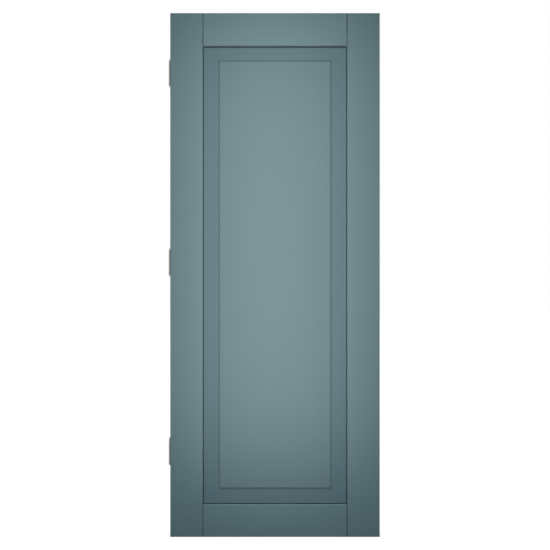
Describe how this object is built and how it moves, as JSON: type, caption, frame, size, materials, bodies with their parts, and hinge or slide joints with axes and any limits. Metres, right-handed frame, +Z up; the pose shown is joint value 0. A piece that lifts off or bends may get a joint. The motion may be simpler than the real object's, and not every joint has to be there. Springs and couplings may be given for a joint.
{
  "type": "panelled front door",
  "caption": "Painted wooden front door leaf with stiles, rails and one raised and fielded panel, hung on butt hinges and swinging inwards.",
  "frame": {"origin": "middle of the leaf's bottom edge, half way through its thickness", "axes": "+X to the right seen from outside, +Y from the outside face to the inside face, +Z up; the hinges are on the -X edge with their barrels on the inside"},
  "size_m": [0.8212, 0.064, 2.032],
  "materials": {
    "door_paint": "satin grey teal factory paint on wood",
    "dowel_beech": "bare beech",
    "spacer_foam": "matt foam rubber",
    "hinge_steel": "satin nickel plated steel",
    "bearing_steel": "turned steel",
    "screw_steel": "satin nickel plated steel"
  },
  "bodies": {
    "frame_side": {"top_hinge_frame_leaf": "hinge_steel", "top_hinge_pin": "hinge_steel", "top_hinge_tip": "hinge_steel", "top_hinge_upper_bearing": "bearing_steel", "top_hinge_lower_bearing": "bearing_steel", "middle_hinge_frame_leaf": "hinge_steel", "middle_hinge_pin": "hinge_steel", "middle_hinge_tip": "hinge_steel", "middle_hinge_upper_bearing": "bearing_steel", "middle_hinge_lower_bearing": "bearing_steel", "bottom_hinge_frame_leaf": "hinge_steel", "bottom_hinge_pin": "hinge_steel", "bottom_hinge_tip": "hinge_steel", "bottom_hinge_upper_bearing": "bearing_steel", "bottom_hinge_lower_bearing": "bearing_steel"},
    "door": {"hinge_stile": "door_paint", "closing_stile": "door_paint", "top_rail": "door_paint", "bottom_rail": "door_paint", "raised_panel": "door_paint", "hinge_stile_top_dowels": "dowel_beech", "hinge_stile_bottom_dowels": "dowel_beech", "closing_stile_top_dowels": "dowel_beech", "closing_stile_bottom_dowels": "dowel_beech", "hinge_stile_spacers": "spacer_foam", "closing_stile_spacers": "spacer_foam", "top_rail_spacers": "spacer_foam", "bottom_rail_spacers": "spacer_foam", "top_hinge_door_leaf": "hinge_steel", "top_hinge_screws": "screw_steel", "middle_hinge_door_leaf": "hinge_steel", "middle_hinge_screws": "screw_steel", "bottom_hinge_door_leaf": "hinge_steel", "bottom_hinge_screws": "screw_steel"}
  },
  "joints": [
    {"name": "door_swing", "type": "hinge", "parent": "frame_side", "child": "door", "pos_m": [-0.408, 0.0349, 1.0665], "axis": [0, 0, 1], "range_deg": [0, 180]}
  ]
}
